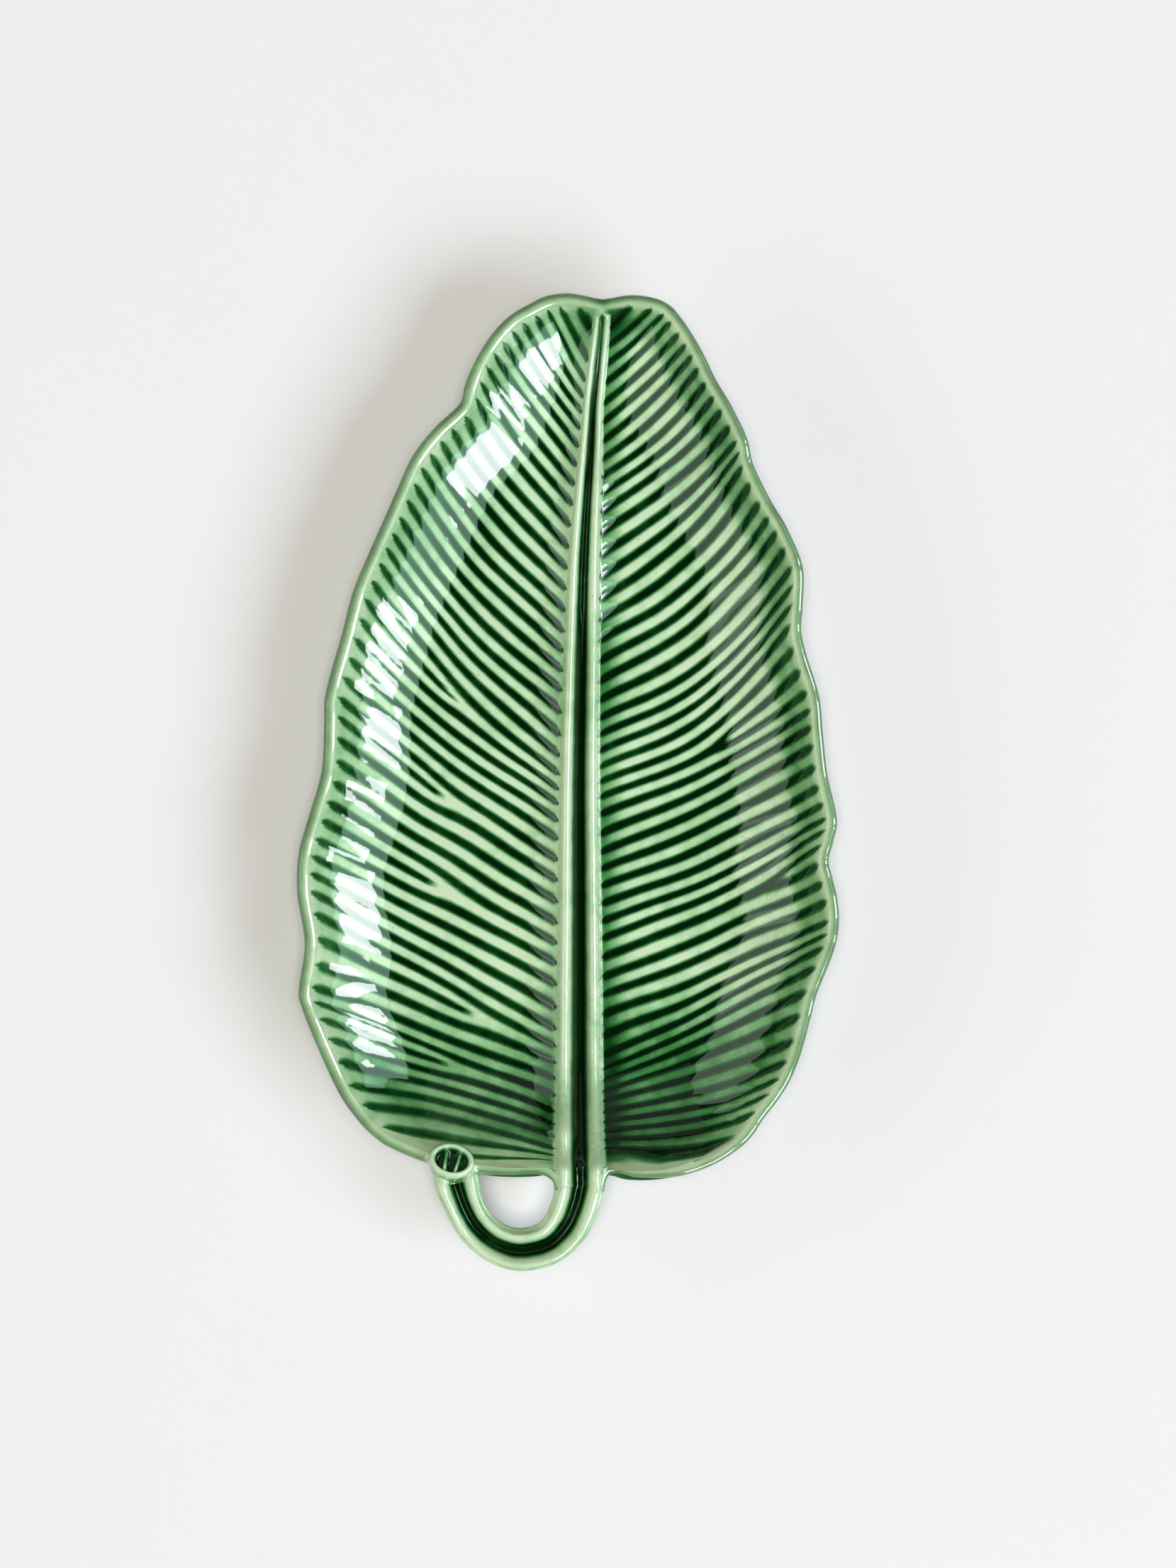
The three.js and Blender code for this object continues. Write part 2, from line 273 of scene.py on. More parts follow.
def between(rows, at):
    """The rows of a table at any values of its first column, on smooth curves through the rows."""
    rows = np.asarray(rows, float)
    at = np.asarray(at, float)
    knots = rows[:, 0]
    slopes = np.empty_like(rows)
    slopes[1:-1] = (rows[2:] - rows[:-2]) / (knots[2:] - knots[:-2])[:, None]
    slopes[0] = (rows[1] - rows[0]) / (knots[1] - knots[0])
    slopes[-1] = (rows[-1] - rows[-2]) / (knots[-1] - knots[-2])
    i = np.clip(np.searchsorted(knots, at) - 1, 0, len(rows) - 2)
    span = (knots[i + 1] - knots[i])[..., None]
    t = np.clip((at - knots[i])[..., None] / span, 0, 1)
    leave, arrive = slopes[i] * span, slopes[i + 1] * span
    rise = rows[i + 1] - rows[i]
    return rows[i] + t * (leave + t * (3 * rise - 2 * leave - arrive + t * (leave + arrive - 2 * rise)))


def smooth(value, start, end):
    """0 at start, 1 at end, and an even S in between."""
    t = np.clip((value - start) / (end - start), 0, 1)
    return t * t * (3 - 2 * t)


def mix(a, b, share):
    """A value that share of the way from a to b."""
    return a + (b - a) * share


def grid_skin(place, **layers):
    """A closed skin made of a grid with a corner at each place, and float layers that ride on the corners."""
    rows, columns = place.shape[1:]
    bm = bmesh.new()
    bmesh.ops.create_grid(bm, x_segments=columns - 1, y_segments=rows - 1, size=1)
    for vert, co in zip(bm.verts, place.reshape(3, -1).T):
        vert.co = co
    for name, values in layers.items():
        layer = bm.verts.layers.float.new(name)
        for vert, value in zip(bm.verts, np.broadcast_to(values, (rows, columns)).ravel()):
            vert[layer] = value
    bmesh.ops.remove_doubles(bm, verts=bm.verts, dist=MERGE_DISTANCE)
    bmesh.ops.dissolve_degenerate(bm, edges=bm.edges, dist=MERGE_DISTANCE / 2)
    bmesh.ops.recalc_face_normals(bm, faces=bm.faces)
    return bm


def new_piece(name, bm, materials):
    """A new object at the origin that holds a bmesh worked in millimetres."""
    bmesh.ops.scale(bm, vec=(MM, MM, MM), verts=bm.verts)
    mesh = bpy.data.meshes.new(name)
    bm.to_mesh(mesh)
    bm.free()
    mesh.polygons.foreach_set("use_smooth", [True] * len(mesh.polygons))
    for material in materials:
        mesh.materials.append(material)
    piece = bpy.data.objects.new(name, mesh)
    bpy.context.scene.collection.objects.link(piece)
    return piece


def fused(piece, parts):
    """One piece with other closed parts joined to it, so that no face is left inside."""
    for part in parts:
        union = piece.modifiers.new(part.name, "BOOLEAN")
        union.operation = "UNION"
        union.solver = "MANIFOLD"
        union.object = part
    bpy.context.view_layer.update()
    seen = piece.evaluated_get(bpy.context.evaluated_depsgraph_get())
    mesh = bpy.data.meshes.new_from_object(seen)
    piece.modifiers.clear()
    spare = piece.data
    piece.data = mesh
    mesh.name = piece.name
    bpy.data.meshes.remove(spare)
    for part in parts:
        spare = part.data
        bpy.data.objects.remove(part)
        bpy.data.meshes.remove(spare)
    return piece


# --- The wall's height field ----------------------------------------------------------------------

# The height is worked out on an even grid of places: its lowest corner, its spacing and its counts
FIELD_LOW = np.array((-92.0, -128.0))
FIELD_STEP = 1.0
FIELD_SHAPE = (185, 280)
FIELD_BLUR = 3.2  # softens the creases where the walls of two lobes meet
FIELD_OVERHANG = 7.0  # the wall's slope is carried on this far past the margin before it levels
WALL_POWER = 1.9  # how sharply the wall turns up: 1 is a straight bevel
MARGIN_STEP = 0.25  # how many ribs apart the corners of the outline are
TINY = 1e-12  # keeps a line of no length from dividing by nothing


def margin_line():
    """The blade's outline seen from above, without the stalk: an array of x and y."""
    sides = []
    for guides in (RIGHT_GUIDES, LEFT_GUIDES):
        ribs = np.arange(STALK_JOIN, guides[-1][0] + 0.01, MARGIN_STEP)
        sides.append(between(guides, ribs)[:, 2:4])
    return np.vstack([sides[0], sides[1][::-1]])


def distance_inside(x, y, line):
    """How far places are from a closed outline: positive inside it and negative outside."""
    starts, ends = line, np.roll(line, -1, axis=0)
    nearest = np.full(x.shape, np.inf)
    inside = np.zeros(x.shape, bool)
    for (ax, ay), (bx, by) in zip(starts, ends):
        dx, dy = bx - ax, by - ay
        t = np.clip(((x - ax) * dx + (y - ay) * dy) / (dx * dx + dy * dy + TINY), 0, 1)
        nearest = np.minimum(nearest, np.hypot(x - ax - t * dx, y - ay - t * dy))
        if ay != by:
            inside ^= ((y < ay) != (y < by)) & (x < ax + (y - ay) * dx / dy)
    return np.where(inside, nearest, -nearest)


def blurred(field, radius):
    """A field softened by a bell of that radius, in steps of the field."""
    reach = int(3 * radius)
    bell = np.exp(-0.5 * (np.arange(-reach, reach + 1) / radius) ** 2)
    bell /= bell.sum()
    for axis in (0, 1):
        padded = np.pad(field, [(reach, reach) if a == axis else (0, 0) for a in (0, 1)], mode="edge")
        field = np.apply_along_axis(lambda row: np.convolve(row, bell, mode="valid"), axis, padded)
    return field


class WallField:
    """The height of the middle of the clay, its slopes and the distance from the margin, at any place."""

    def __init__(self, sizes):
        self.floor = (sizes.foot_height + sizes.floor_thickness / 2) / MM
        self.depth = sizes.depth / MM
        x = FIELD_LOW[0] + FIELD_STEP * np.arange(FIELD_SHAPE[0])
        y = FIELD_LOW[1] + FIELD_STEP * np.arange(FIELD_SHAPE[1])
        run = sizes.wall_run / MM
        inside = distance_inside(*np.meshgrid(x, y, indexing="ij"), margin_line())
        rise = np.clip(1 - inside / run, 0, 1) ** WALL_POWER
        past = np.clip(-inside, 0, FIELD_OVERHANG) * WALL_POWER / run
        height = blurred(self.floor + self.depth * (rise + past), FIELD_BLUR / FIELD_STEP)
        self.layers = np.stack([height, *np.gradient(height, FIELD_STEP), inside], axis=-1)

    def at(self, x, y):
        """Height, slope along x, slope along y and distance from the margin, on smooth cubic patches."""
        u = (x - FIELD_LOW[0]) / FIELD_STEP
        v = (y - FIELD_LOW[1]) / FIELD_STEP
        i, j = np.floor(u).astype(int), np.floor(v).astype(int)
        total = 0
        for a, wa in enumerate(cubic_weights(u - i)):
            for b, wb in enumerate(cubic_weights(v - j)):
                total = total + self.layers[i + a - 1, j + b - 1] * (wa * wb)[..., None]
        return np.moveaxis(total, -1, 0)


def cubic_weights(t):
    """How much each of four neighbours in a row counts, at a share of the way between the middle two."""
    return (
        ((2 - t) * t - 1) * t / 2,
        (t * t * (3 * t - 5) + 2) / 2,
        ((4 - 3 * t) * t + 1) * t / 2,
        (t - 1) * t * t / 2,
    )


# --- The clay body --------------------------------------------------------------------------------

ROWS_PER_RIB = 9
BASE_RIBS = 2  # the rows fan out along the base over this many ribs
BASE_ROWS = 44
STALK_ROWS = 84
DIRECTION_STEP = 0.05  # the margin's direction is taken over this many ribs ahead and behind
PATH_STEP = 0.3  # and the stalk's over this many millimetres

# Columns of half a row, from the top of the channel, over the blade, round the lip and back underneath
STRIP = np.array((0, 0.12, 0.22, 0.32, 0.42, 0.52, 0.62, 0.72, 0.82, 0.91))
EVEN = np.linspace(0, 1, 33)
CROWDING = 0.78  # how much closer the blade's columns stand at its two ends than if they were even
BLADE = EVEN - CROWDING * np.sin(2 * math.pi * EVEN) / (2 * math.pi)
LIP = np.radians((72, 54, 36, 18, 0, -18, -36, -54, -72))
UNDER = np.linspace(1, 0, 15)
UNDER_STRIP = np.array((0.6, 0.3, 0))
# Each column's turn round the lip, from a quarter turn on the top face to minus a quarter underneath
TURN = np.concatenate([np.full(len(STRIP) + len(BLADE), math.pi / 2), LIP,
                       np.full(len(UNDER) + len(UNDER_STRIP), -math.pi / 2)])
ON_TOP = TURN == math.pi / 2
ON_UNDERSIDE = TURN == -math.pi / 2
ON_LIP = ~(ON_TOP | ON_UNDERSIDE)

# The midrib, its underside and the stalk
STALK_STARTS = (-108, -114.4)  # over this stretch of y the midrib leaves the wall and becomes the stalk
STALK_EDGE = (14, 8)  # this far from its centre line the wall begins to follow it, and fully does
STALK_STRIP = 0.7  # the midrib's columns take up this share of the stalk's half width
STRIP_WHOLE = 0.8  # rib number by which they take up all of the midrib's
STALK_SINK = 1.5  # the middle of the clay at the stalk's sides lies this far under its springing line
KEEL = 0.8  # the midrib shows this far under the blade
STALK_BELLY = 2.4  # the stalk's underside swells this far below its sides
BELLY_FULLNESS = 0.7  # below 1 the swelling is fuller than a plain arch
RIDGE_TIP_FADE = (1.2, 3.4)  # the ridges rise over this much of the margin at the tip
FILLET_HEIGHT = 0.6  # the blade rises this far to the foot of the midrib, as a share of its half width
FILLET_RUN = 2.1  # and over this distance, as a share of the same
FILLET_FADE = (3, 12)  # it comes in over this distance from the margin
RIGHT_FILLET = ((34, 52), (98, 84))  # on the right it is there only between these two stretches of y

# The ribs
SAG_LEAN = 1.3  # above 1 a rib sags most in the outer half of its length
RIBS_START = (0.92, 1.28)  # the ribs rise over this stretch beside the midrib, as shares of its half width
FORK_LENGTH = 0.14  # share of a rib's length over which a fork opens, for each rib's width
RIGHT_LIP = 3.0  # how far in from the right margin the grooves start
LEFT_LIP = 4.4
GROOVE_END = 0.4  # share of that distance at which they have died out
GROOVE_SHARPNESS = 1.4  # above 1 the grooves are narrower than the crests
WOBBLE = 0.12  # how far a rib strays from its even course, as a share of a rib
WOBBLE_RATE = 0.045  # and how quickly it does so, for each millimetre
WOBBLE_APART = 9.0  # keeps the courses of the two sides unlike
WALL_RELIEF_FADE = (27, 36)  # the ribs grow to their full height between these distances from the margin
RIGHT_WALL_RELIEF = 1.8  # on the right wall they stand this much higher than on the left

# How deep the glaze lies, where 0 is thin and 1 is pooled, with painted shade added into the same value, with
# distances in millimetres from the margin
GROOVE_SLOPE = (0.1, 0.35)  # the glaze thins over this stretch from a groove's bottom, in ribs
BARE_POOL = 0.1  # where there are no ribs
RIBS_SHOW = 0.25  # share of the ribs' full height at which their glaze is as deep as anywhere
MARGIN_THINNING = (0.84, (4, 16))  # the glaze is this much thinner up the wall
LEFT_WALL_PAINTED_LIGHT = (0.85, (13, 24))  # painted light: the glaze is made paler still on the left wall, which faces the window
# Painted shade, added into the glaze's depth: darker beside the midrib, up each wall and towards the base,
# with more of it on the right
MIDRIB_SHADE_REACH = (9, 1)  # from the midrib's side
RIGHT_SHADES = {"midrib": 0.42, "wall": 0.3, "wall_reach": (12, 7), "base": 0.46}
LEFT_SHADES = {"midrib": 0.2, "wall": 0.15, "wall_reach": (19, 8), "base": 0.34}
LIP_CLEAR = (1, 4)  # the wall's shade stays off the lip
BASE_SHADE_RISE = (-52, -86)  # y over which the base's shade comes in
BASE_SHADE_EDGE = (4, 12)  # and it stays off the wall's top
DEEPEST_SHADE = 0.8
SHADE_START = (1, 1.15)  # the shades stay off the midrib, as shares of its half width
CREST_START = (0.8, 1.1)  # and so do the grooves' pools
CHANNEL = (0.2, 0.42)  # the channel's pool ends over this stretch of the half width
CHANNEL_TIP_EDGE = (1.8, 3.2)  # it ends this far from the margin at the tip
CHANNEL_TIP = (0.6, (134, 108))  # the channel's pool is shallower towards the tip
UNDERSIDE_POOL = 0.5
LIP_WARM = (2.4, 1.3)  # the lip is warmed by the clay over this stretch
LIP_WARM_START = (1, 1.4)  # as shares of the midrib's half width
LIP_POOL = (0.1, 0.5, (1.3, 0.1))  # on top of the lip, added underneath, and the turns it grows between
LIP_WARMTH = (0.3, 0.45, (0.1, 1))  # at the side of the lip, added on top, and the turns it grows between
WARMTH_ENDS = -1.2  # turn past which the underside isn't warmed
STALK_POOL = (0.1, 0.4, (-0.4, 1.2))  # over the stalk's side, added underneath, and the turns down between


def rib_phase(side, rib, across):
    """The running count of grooves at places on a half blade: whole numbers are the groove bottoms."""
    phase = rib + 0 * across
    for fork_side, fork_rib, fork_across in FORKS:
        if fork_side == side:
            beyond = (fork_across - across) / FORK_LENGTH
            turn = np.arctan2(beyond, rib - fork_rib) - np.where(beyond < 0, -math.pi, math.pi)
            phase = phase + turn / (2 * math.pi)
    return phase


wobble_at = np.vectorize(lambda x, y, layer: noise.noise((x * WOBBLE_RATE, y * WOBBLE_RATE, layer)))


def rows_along_blade():
    """The share of the way from the base to the tip of each row, with more rows at the base."""
    last = RIGHT_GUIDES[-1][0]
    base = BASE_RIBS / last
    return np.concatenate([np.linspace(0, base, BASE_ROWS)[:-1],
                           np.linspace(base, 1, int((last - BASE_RIBS) * ROWS_PER_RIB))])


def half_blade(side, share, sizes):
    """Half of every row of the blade from above: x, y and the share of the way out to the margin, the rib
    numbers, and the direction out across the margin."""
    guides = RIGHT_GUIDES if side > 0 else LEFT_GUIDES
    last = guides[-1][0]
    rib = share * last
    _, start_y, end_x, end_y, sag = between(guides, rib).T
    _, ahead_x, ahead_y = between(guides, np.minimum(rib + DIRECTION_STEP, last)).T[1:4]
    _, behind_x, behind_y = between(guides, np.maximum(rib - DIRECTION_STEP, 0)).T[1:4]
    inward = np.stack([behind_y - ahead_y, ahead_x - behind_x]) * side
    inward /= np.hypot(*inward)
    rim = sizes.rim_thickness / MM / 2
    end_x, end_y = end_x + inward[0] * rim, end_y + inward[1] * rim

    mean_y = sum(between(g, share * g[-1][0])[:, 1] for g in (RIGHT_GUIDES, LEFT_GUIDES)) / 2
    edge = mix(STALK_STRIP, 1, smooth(rib, 0, STRIP_WHOLE))[:, None]

    def strip(columns):
        y = mix(mean_y[:, None], start_y[:, None], columns**2)
        _, middle, half = np.moveaxis(between(MIDRIB, y), -1, 0)
        return middle + side * columns * edge * half, y

    _, middle, half = between(MIDRIB, start_y).T
    start_x = middle + side * edge[:, 0] * half

    def out(columns):
        bow = columns**SAG_LEAN
        x = mix(start_x[:, None], end_x[:, None], columns)
        y = mix(start_y[:, None], end_y[:, None], columns) - sag[:, None] * 4 * bow * (1 - bow)
        return x, y

    ends = np.ones(len(LIP))
    x, y = (np.hstack(parts) for parts in zip(
        strip(STRIP), out(BLADE), out(ends), out(UNDER), strip(UNDER_STRIP)))
    across = np.hstack([STRIP * 0, BLADE, ends, UNDER, UNDER_STRIP * 0]) + 0 * x
    return x, y, across, rib[:, None], -inward[:, :, None]


def swell(off):
    """How full the underside of the midrib or stalk is, at a share of its half width."""
    return np.clip(1 - off**2, 0, 1) ** BELLY_FULLNESS


def half_surface(side, share, field, sizes):
    """Places of one side's half rows, from the channel's top round to the underside, and their glaze with
    painted shade and light worked in.
    """
    x, y, across, rib, outward = half_blade(side, share, sizes)
    _, middle, half = np.moveaxis(between(MIDRIB, y), -1, 0)
    aside = np.abs(x - middle)
    off = aside / half
    beside = aside - half
    height, slope_x, slope_y, inside = field.at(x, y)
    on_stalk = smooth(y, *STALK_STARTS) * smooth(aside, *STALK_EDGE)
    height = mix(height, STALK[0][2] - STALK_SINK, on_stalk)
    slope_x, slope_y = slope_x * (1 - on_stalk), slope_y * (1 - on_stalk)
    normal = np.stack([-slope_x, -slope_y, np.ones_like(x)])
    normal /= np.sqrt((normal**2).sum(axis=0))
    climb = outward[0] * slope_x + outward[1] * slope_y
    outwards = np.stack([outward[0] + 0 * x, outward[1] + 0 * x, climb]) / np.sqrt(1 + climb**2)

    bare = RIGHT_LIP if side > 0 else LEFT_LIP
    reach = smooth(off, *RIBS_START) * smooth(inside, GROOVE_END * bare, bare)
    phase = rib_phase(side, rib + WOBBLE * wobble_at(x, y, side * WOBBLE_APART), across)
    from_groove = np.abs(phase - np.round(phase))
    groove = (0.5 + 0.5 * np.cos(2 * math.pi * from_groove)) ** GROOVE_SHARPNESS
    wall_relief = sizes.wall_relief / MM * (RIGHT_WALL_RELIEF if side > 0 else 1)
    crest = mix(wall_relief, sizes.rib_relief / MM, smooth(inside, *WALL_RELIEF_FADE))
    relief = np.where(ON_TOP, crest * (1 - 2 * groove) * reach, 0)

    risen = np.clip((height - field.floor) / field.depth, 0, 1) ** (1 / WALL_POWER)
    thickness = mix(sizes.floor_thickness / MM, sizes.rim_thickness / MM, risen)
    place = np.stack([x, y, height])
    place = place + outwards * np.cos(TURN) * thickness / 2 + normal * np.sin(TURN) * (thickness / 2 + relief)
    ridge = between(RIDGES, np.minimum(off, RIDGES[-1][0]))[..., 1] * half
    ridge = ridge * np.where(y > 0, smooth(inside, *RIDGE_TIP_FADE), 1)
    fillet = FILLET_HEIGHT * half * np.clip(1 - np.maximum(beside, 0) / (FILLET_RUN * half), 0, 1) ** 2
    if side > 0:
        fillet = fillet * smooth(y, *RIGHT_FILLET[0]) * smooth(y, *RIGHT_FILLET[1])
    place[2] += np.where(ON_TOP, ridge + fillet * (1 - on_stalk) * smooth(inside, *FILLET_FADE), 0)
    place[2] -= np.where(ON_UNDERSIDE, mix(KEEL, STALK_BELLY, on_stalk) * swell(off), 0)
    pool = half_pools(side, y, inside, off, beside, reach, from_groove)
    return place, pool, lip_warmth(inside, off, on_stalk)


def half_pools(side, y, inside, off, beside, reach, from_groove):
    """How deep the glaze lies on one side's half rows, with painted shade beside the midrib, up the walls and
    towards the base, and painted light on the left wall, all added into the same value.
    """
    slope_start, slope_end = GROOVE_SLOPE
    width = np.maximum(reach, 0.02)  # a groove narrows as it dies out, but never to nothing
    pool = 1 - smooth(from_groove, slope_start * width, slope_end * width)
    palest, edge = MARGIN_THINNING
    pool = mix(BARE_POOL, pool, smooth(reach, 0, RIBS_SHOW)) * mix(palest, 1, smooth(inside, *edge))
    # Painted light: the left wall is made paler
    if side < 0:
        palest, edge = LEFT_WALL_PAINTED_LIGHT
        pool = pool * mix(palest, 1, smooth(inside, *edge))

    # Painted shade: darker beside the midrib, up the walls and towards the base
    shades = RIGHT_SHADES if side > 0 else LEFT_SHADES
    shade = shades["midrib"] * smooth(beside, *MIDRIB_SHADE_REACH)
    shade = shade + shades["wall"] * smooth(inside, *shades["wall_reach"]) * smooth(inside, *LIP_CLEAR)
    low = smooth(y, *BASE_SHADE_RISE) * smooth(inside, *BASE_SHADE_EDGE)
    shade = np.minimum(shade + shades["base"] * low, DEEPEST_SHADE)
    pool = pool + (1 - pool) * shade * smooth(off, *SHADE_START)

    shallowest, stretch = CHANNEL_TIP
    at_tip = smooth(inside, *CHANNEL_TIP_EDGE) * mix(shallowest, 1, smooth(y, *stretch))
    channel = (1 - smooth(off, *CHANNEL)) * np.where(y > 0, at_tip, 1)
    pool = np.where(ON_TOP, np.maximum(pool * smooth(off, *CREST_START), channel), UNDERSIDE_POOL)
    on_top, added, turns = LIP_POOL
    return np.where(ON_LIP, on_top + added * smooth(TURN, *turns), pool)


def lip_warmth(inside, off, on_stalk):
    """How far the thin glaze on the lip is warmed by the clay under it."""
    at_side, added, turns = LIP_WARMTH
    warmth = smooth(inside, *LIP_WARM) * smooth(off, *LIP_WARM_START)
    warmth = warmth * (1 - on_stalk) * (at_side + added * smooth(TURN, *turns))
    return np.where(TURN > WARMTH_ENDS, warmth, 0)


def ring_rows(right, left):
    """Two half rows joined into closed rows: down the right side and back up the left."""
    return np.concatenate([right, left[..., -2:0:-1], right[..., :1]], axis=-1)


def stalk_rows():
    """Closed rows of the looped stalk from its cut end back to the rim, and their glaze."""
    path = np.array(STALK, float)
    run = np.concatenate([[0], np.cumsum(np.linalg.norm(np.diff(path[:, :3], axis=0), axis=1))])
    table = np.column_stack([run, path])
    at = np.linspace(run[-1], 0, STALK_ROWS + 1)[:-1]
    _, x, y, z, half = (column[:, None] for column in between(table, at).T)
    ahead = between(table, np.minimum(at + PATH_STEP, run[-1]))
    behind = between(table, np.maximum(at - PATH_STEP, 0))
    along = (ahead - behind)[:, 1:3].T
    along /= np.hypot(*along)
    aside = np.stack([-along[1], along[0]])[:, :, None]
    reach = half - STALK_SINK
    start = STALK_STRIP * half
    off = np.hstack([
        STRIP * start,
        mix(start, reach, BLADE),
        np.repeat(reach, len(LIP), axis=1),
        mix(start, reach, UNDER),
        UNDER_STRIP * start,
    ])
    share = off / half
    lift = STALK_SINK * np.sin(TURN) + np.where(ON_TOP, between(RIDGES, share)[..., 1] * half, 0)
    lift = lift - np.where(ON_UNDERSIDE, STALK_BELLY * swell(share), 0)
    sideways = off + STALK_SINK * np.cos(TURN)
    right, left = (np.stack([x + aside[0] * sideways * side, y + aside[1] * sideways * side,
                             z - STALK_SINK + lift]) for side in (1, -1))
    on_side, added, turns = STALK_POOL
    pool = np.where(ON_TOP, 1 - smooth(share, *CHANNEL), on_side + added * smooth(-TURN, *turns)) + 0 * share
    pools = ring_rows(pool, pool)
    return ring_rows(right, left), pools, 0 * pools


def clay_body(sizes):
    """The blade, midrib and stalk as one closed skin: a grid whose rows follow the ribs, then the stalk."""
    field = WallField(sizes)
    share = rows_along_blade()
    right = half_surface(1, share, field, sizes)
    left = half_surface(-1, share, field, sizes)
    blade = [ring_rows(r, l) for r, l in zip(right, left)]
    tip = blade[0][:, -1]
    blade[0][:, -1] = (tip + tip[:, ::-1]) / 2
    place, pool, lip = (np.concatenate([s, b], axis=-2) for s, b in zip(stalk_rows(), blade))
    place[:, 0] = place[:, 0].mean(axis=-1, keepdims=True)
    return grid_skin(place, pool=pool, lip=lip)


# --- The stalk's cut end and the foot -------------------------------------------------------------

KNOB = {"x": -32.9, "y": -107, "z": 31.4, "tilt": 0.52, "squash": 0.78, "turn": -0.2}
KNOB_TURN_STEPS = 96
# The cut end's outline, from under the boss, over its rim and into the hollow: step, radius, height and pool
KNOB_PROFILE = [
    (0, 0, -9.5, 0.4),
    (1, 3.6, -9.3, 0.4),
    (2, 5.7, -7.2, 0.4),
    (3, 6.5, -3, 0.35),
    (4, 6.6, -1.4, 0.12),
    (5, 6.1, -0.25, 0.03),
    (6, 5.3, -0.1, 0.06),
    (7, 4.7, -0.9, 0.5),
    (8, 4.25, -2.1, 1),
    (9, 2, -2.5, 1),
    (10, 0, -2.5, 1),
]
KNOB_RINGS = 60
HOLLOW_FROM = 6  # the step at which the outline turns into the hollow
SEPTA = (1.51, 1.63)  # directions of the two walls between the three cells, in radians
SEPTA_FROM = 30  # the walls fan out from a point this far below the middle of the face
SEPTUM_WIDTH = 0.62
SEPTUM_RISE = 1.9
SEPTUM_EDGE = (4.6, 3.4)  # the walls come up over this stretch from the rim inwards
SEPTUM_THINNING = (0.5, 0.97, (1, -3))  # how thin the glaze is on them, and from which y to which it thins


def cut_end():
    """The stalk's cut end: a round boss whose hollow face is in three cells."""
    steps = np.linspace(0, KNOB_PROFILE[-1][0], KNOB_RINGS)
    rings = between(KNOB_PROFILE, steps)
    radius, height, pool = (rings[:, k][:, None] + 0 * np.arange(KNOB_TURN_STEPS + 1) for k in (1, 2, 3))
    turn = np.linspace(0, 2 * math.pi, KNOB_TURN_STEPS + 1)[None, :] + 0 * radius
    x, y = radius * np.cos(turn), radius * np.sin(turn)
    wall = 0 * x
    for angle in SEPTA:
        aside = -x * math.sin(angle) + (y + SEPTA_FROM) * math.cos(angle)
        wall = np.maximum(wall, np.exp(-((aside / SEPTUM_WIDTH) ** 2)))
    wall = np.where(steps[:, None] > HOLLOW_FROM, wall, 0)
    height = height + SEPTUM_RISE * wall * smooth(radius, *SEPTUM_EDGE)
    far, near, stretch = SEPTUM_THINNING
    pool = pool * (1 - wall * mix(far, near, smooth(y, *stretch)))
    place = np.stack([x, y, height])
    place[:, :, -1] = place[:, :, 0]
    bm = grid_skin(place, pool=pool, lip=0 * pool)
    turned = Matrix.Translation((KNOB["x"], KNOB["y"], KNOB["z"])) @ Matrix.Rotation(KNOB["turn"], 4, "Z")
    turned = turned @ Matrix.Rotation(-KNOB["tilt"], 4, "X")
    turned = turned @ Matrix.Scale(KNOB["squash"], 4, (0, 1, 0))
    bmesh.ops.transform(bm, matrix=turned, verts=bm.verts)
    return bm


FOOT_MIDDLE = -6
FOOT_TAPER = 0.16  # the foot's oval is this much narrower at the tip's end and wider at the base's
FOOT_STEPS = 240
FOOT_ROUNDING = 0.7
FOOT_OVERLAP = 1 / 3  # the ring reaches this far up into the floor, as a share of its thickness
FOOT_POOL = 0.45


def foot_ring(sizes):
    """An oval ring under the floor with rounded corners, and a flat face to stand on."""
    half_width, half_length, width = (v / MM for v in (
        sizes.foot_half_width, sizes.foot_half_length, sizes.foot_width))
    top = (sizes.foot_height + sizes.floor_thickness * FOOT_OVERLAP) / MM
    r = FOOT_ROUNDING
    soft = r * (1 - math.sqrt(0.5))
    profile = np.array([
        (0, top), (0, 2 * r), (0, r), (soft, soft), (r, 0), (width / 2, 0), (width - r, 0),
        (width - soft, soft), (width, r), (width, 2 * r), (width, top), (width / 2, top), (0, top),
    ])
    turn = np.linspace(0, 2 * math.pi, FOOT_STEPS + 1)[:, None]
    inset = profile[:, 0][None, :]
    x = (half_width - inset) * (1 - FOOT_TAPER * np.sin(turn)) * np.cos(turn)
    y = FOOT_MIDDLE + (half_length - inset) * np.sin(turn)
    z = profile[:, 1][None, :] + 0 * x
    bm = grid_skin(np.stack([x, y, z]), pool=FOOT_POOL + 0 * z, lip=0 * z)
    for face in bm.faces:
        if face.calc_center_median().z < soft:
            face.material_index = 1
    return bm


# --- Materials ------------------------------------------------------------------------------------

# Sizes of the patterns, in millimetres
GLAZE_CLOUDS = 28  # broad drifts where the pour was thicker
GLAZE_RUNS = 4.5  # short runs down the ribs
GLAZE_SPECKS = 1.1  # specks of colour, drawn a little coarser than they are so that they show
GLAZE_RIPPLE = 7
GLAZE_RIPPLE_DEPTH = 0.07
CLAY_GRIT = 0.8
CLAY_GRIT_DEPTH = 0.1
BOARD_MOTTLE = 90

NOISE_SPAN = {"From Min": 0.3, "From Max": 0.7}  # most of a noise pattern's values lie between these
GLAZE_STOPS = ((0.2, "light"), (0.5, "middle"), (0.78, "deep"))  # how deep the glaze is at each colour


